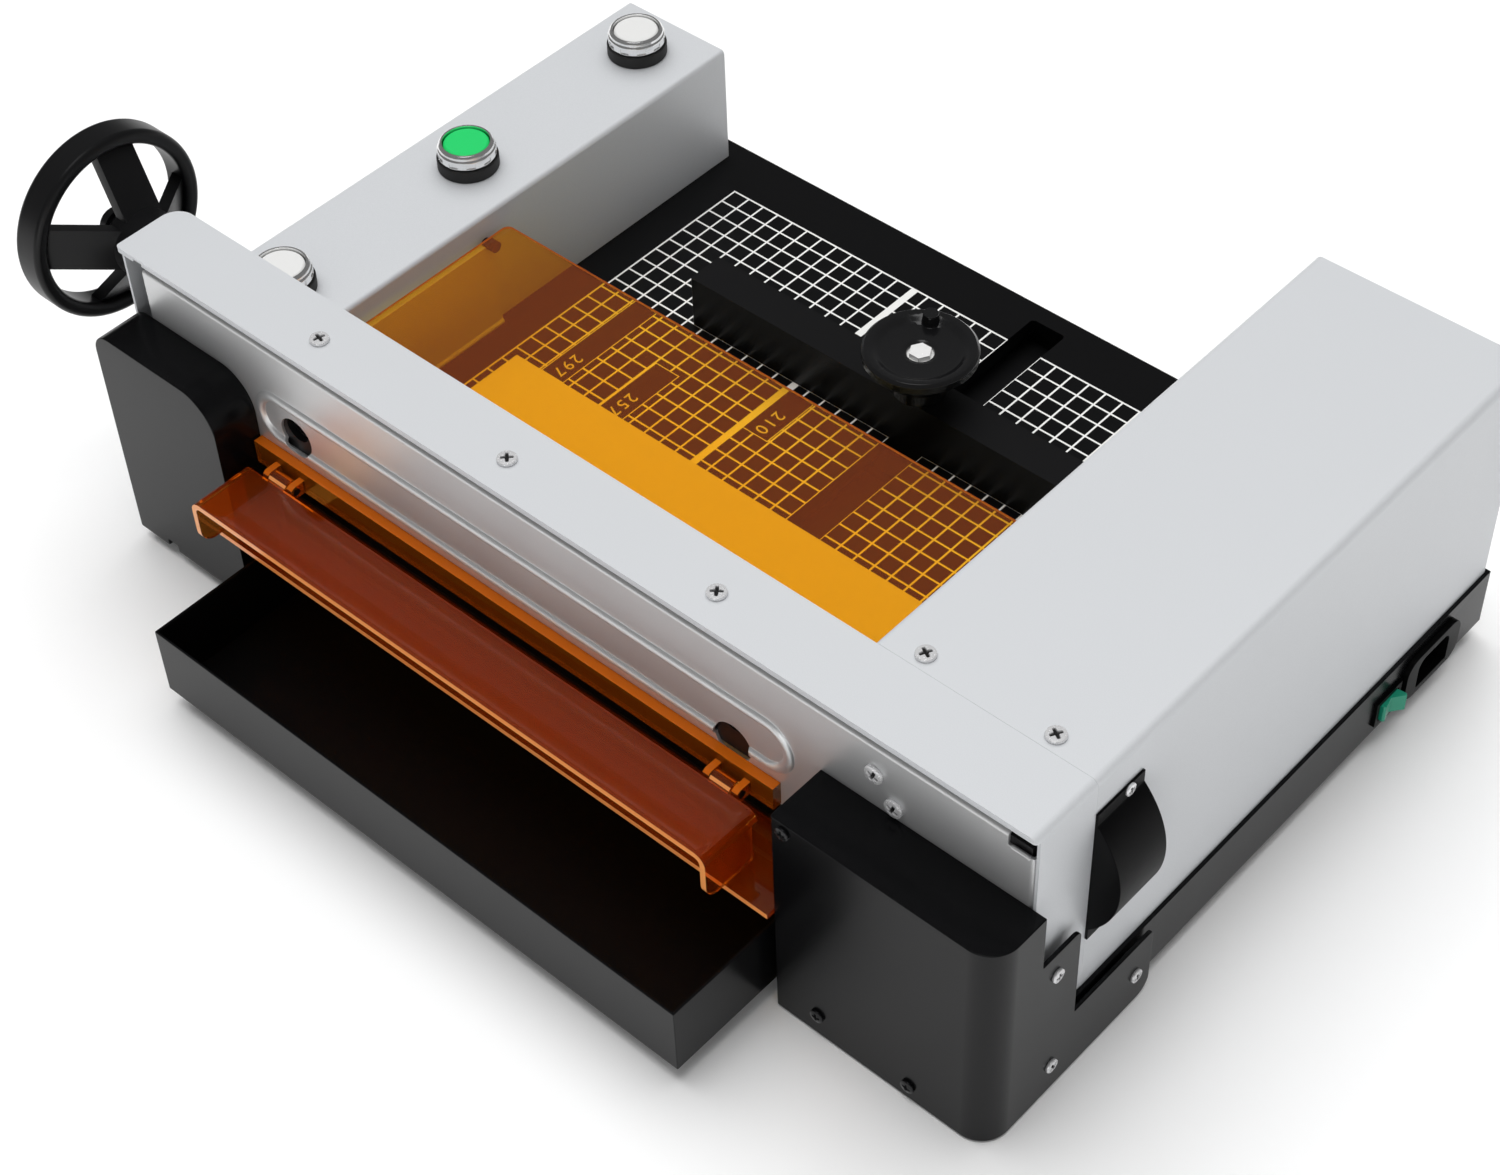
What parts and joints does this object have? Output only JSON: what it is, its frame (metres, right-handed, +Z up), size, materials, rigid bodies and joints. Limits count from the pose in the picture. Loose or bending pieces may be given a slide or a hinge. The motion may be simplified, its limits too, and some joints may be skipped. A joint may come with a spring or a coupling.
{
  "type": "electric paper cutter",
  "caption": "Desktop electric paper cutter: slanting powered knife under a beam, screw clamp with handwheel, sliding back gauge, hinged amber guards, waste tray and push buttons.",
  "frame": {"origin": "middle of the whole machine's length and depth, on the ground under the rubber feet", "axes": "+X along the knife beam from the handwheel to the motor housing, +Y from the waste tray to the feeding table, +Z up"},
  "size_m": [0.602, 0.431, 0.193],
  "materials": {
    "silver_paint": "satin powder coat on bent sheet",
    "panel_paint": "satin powder coat on pressed sheet",
    "black_paint": "fine-textured black powder coat",
    "black_plastic": "moulded, fine matte grain",
    "gloss_black": "smooth moulded phenolic",
    "amber": "clear amber acrylic sheet with polished edges",
    "cast_iron": "machined casting",
    "steel": "ground steel",
    "blade_steel": "ground and honed tool steel",
    "chrome": "bright plated",
    "dark_steel": "blackened steel",
    "aluminium": "die-cast aluminium",
    "bronze": "turned bronze",
    "rubber": "moulded rubber",
    "plate_paint": "light satin paint",
    "stick_plastic": "extruded plastic",
    "white_plastic": "translucent moulded cap",
    "green_plastic": "translucent moulded cap",
    "rocker_green": "translucent moulded rocker",
    "board": "printed circuit board with parts",
    "winding": "laminated core with taped winding"
  },
  "bodies": {
    "machine": {"base_pan": "black_paint", "rubber_feet": "rubber", "left_upright": "cast_iron", "right_upright": "cast_iron", "crown_bar": "steel", "bridge_plate": "steel", "guide_rollers": "steel", "table_plate": "black_paint", "gauge_rail": "steel", "cutting_stick": "stick_plastic", "column_cover": "silver_paint", "motor_cover": "silver_paint", "beam_cover": "silver_paint", "front_panel": "panel_paint", "left_end_cover": "black_paint", "right_end_cover": "black_paint", "gear_shield": "black_plastic", "outlet_slide": "amber", "hood_rail": "amber", "hinge_pins": "steel", "power_inlet": "black_plastic", "switch_frame": "black_plastic", "button_rings": "chrome", "button_gaskets": "rubber", "button_barrels": "aluminium", "drive_motor": "dark_steel", "gearbox": "aluminium", "transformer": "winding", "control_board": "board", "shaft_bushes": "bronze", "screw_bearings": "cast_iron", "cover_screws": "chrome", "end_cover_screws": "dark_steel"},
    "clamp": {"clamp_bar": "steel", "presser_plate": "plate_paint", "clamp_nuts": "bronze"},
    "wheel": {"handwheel": "gloss_black", "clamp_shaft": "steel", "shaft_gears": "steel", "wheel_screw": "dark_steel"},
    "left_screw": {"left_lead_screw": "steel", "left_screw_gear": "steel"},
    "right_screw": {"right_lead_screw": "steel", "right_screw_gear": "steel"},
    "knife": {"knife_carrier": "steel", "blade": "blade_steel", "blade_bolts": "dark_steel"},
    "pinion": {"drive_pinion": "steel", "output_shaft": "steel"},
    "gauge": {"gauge_bar": "gloss_black", "gauge_slider": "steel"},
    "knob": {"lock_knob": "gloss_black", "knob_insert": "chrome"},
    "guard": {"table_guard": "amber"},
    "hood": {"outlet_hood": "amber"},
    "tray": {"waste_tray": "black_paint"},
    "far_cap": {"far_button": "white_plastic"},
    "start_cap": {"start_button": "green_plastic"},
    "near_cap": {"near_button": "white_plastic"},
    "rocker_body": {"rocker": "rocker_green"}
  },
  "joints": [
    {"name": "wheel_turn", "type": "hinge", "parent": "machine", "child": "wheel", "pos_m": [-0.284, -0.1015, 0.1445], "axis": [1, 0, 0], "range_deg": [-360, 1440]},
    {"name": "clamp_slide", "type": "slide", "parent": "machine", "child": "clamp", "axis": [0, 0, 1], "range_m": [-0.008, 0.032]},
    {"name": "left_screw_turn", "type": "hinge", "parent": "machine", "child": "left_screw", "pos_m": [-0.1915, -0.1015, 0.0675], "axis": [0, 0, 1], "range_deg": [-1440, 360]},
    {"name": "right_screw_turn", "type": "hinge", "parent": "machine", "child": "right_screw", "pos_m": [0.2005, -0.1015, 0.0675], "axis": [0, 0, 1], "range_deg": [-1440, 360]},
    {"name": "knife_slide", "type": "slide", "parent": "machine", "child": "knife", "axis": [0.4226, 0, -0.9063], "range_m": [0, 0.047]},
    {"name": "pinion_turn", "type": "hinge", "parent": "machine", "child": "pinion", "pos_m": [0.2425, -0.1015, 0.1135], "axis": [0, 1, 0], "range_deg": [-150, 0]},
    {"name": "gauge_slide", "type": "slide", "parent": "machine", "child": "gauge", "axis": [0, 1, 0], "range_m": [-0.03, 0.075]},
    {"name": "knob_turn", "type": "hinge", "parent": "gauge", "child": "knob", "pos_m": [0.0465, 0.09425, 0.1125], "axis": [0, 0, 1], "range_deg": [-90, 180]},
    {"name": "table_guard_hinge", "type": "hinge", "parent": "machine", "child": "guard", "pos_m": [0, -0.088, 0.1235], "axis": [1, 0, 0], "range_deg": [0, 88]},
    {"name": "outlet_hood_hinge", "type": "hinge", "parent": "machine", "child": "hood", "pos_m": [0, -0.1383, 0.0935], "axis": [-1, 0, 0], "range_deg": [0, 75]},
    {"name": "tray_slide", "type": "slide", "parent": "machine", "child": "tray", "axis": [0, -1, 0], "range_m": [0, 0.12]},
    {"name": "far_button_press", "type": "slide", "parent": "machine", "child": "far_cap", "axis": [0, 0, -1], "range_m": [0, 0.0025], "stiffness_N_per_m": 400, "springref_m": -0.0005},
    {"name": "start_button_press", "type": "slide", "parent": "machine", "child": "start_cap", "axis": [0, 0, -1], "range_m": [0, 0.0025], "stiffness_N_per_m": 400, "springref_m": -0.0005},
    {"name": "near_button_press", "type": "slide", "parent": "machine", "child": "near_cap", "axis": [0, 0, -1], "range_m": [0, 0.0025], "stiffness_N_per_m": 400, "springref_m": -0.0005},
    {"name": "rocker_tilt", "type": "hinge", "parent": "machine", "child": "rocker_body", "pos_m": [0.2865, 0.1325, 0.022], "axis": [0, 0, 1], "range_deg": [0, 12]}
  ],
  "couplings": [
    {"joint": "clamp_slide", "follows": "wheel_turn", "m_per_rad": 0.0012732},
    {"joint": "left_screw_turn", "follows": "wheel_turn", "ratio": -1},
    {"joint": "right_screw_turn", "follows": "wheel_turn", "ratio": -1},
    {"joint": "pinion_turn", "follows": "knife_slide", "rad_per_m": -55.556}
  ]
}
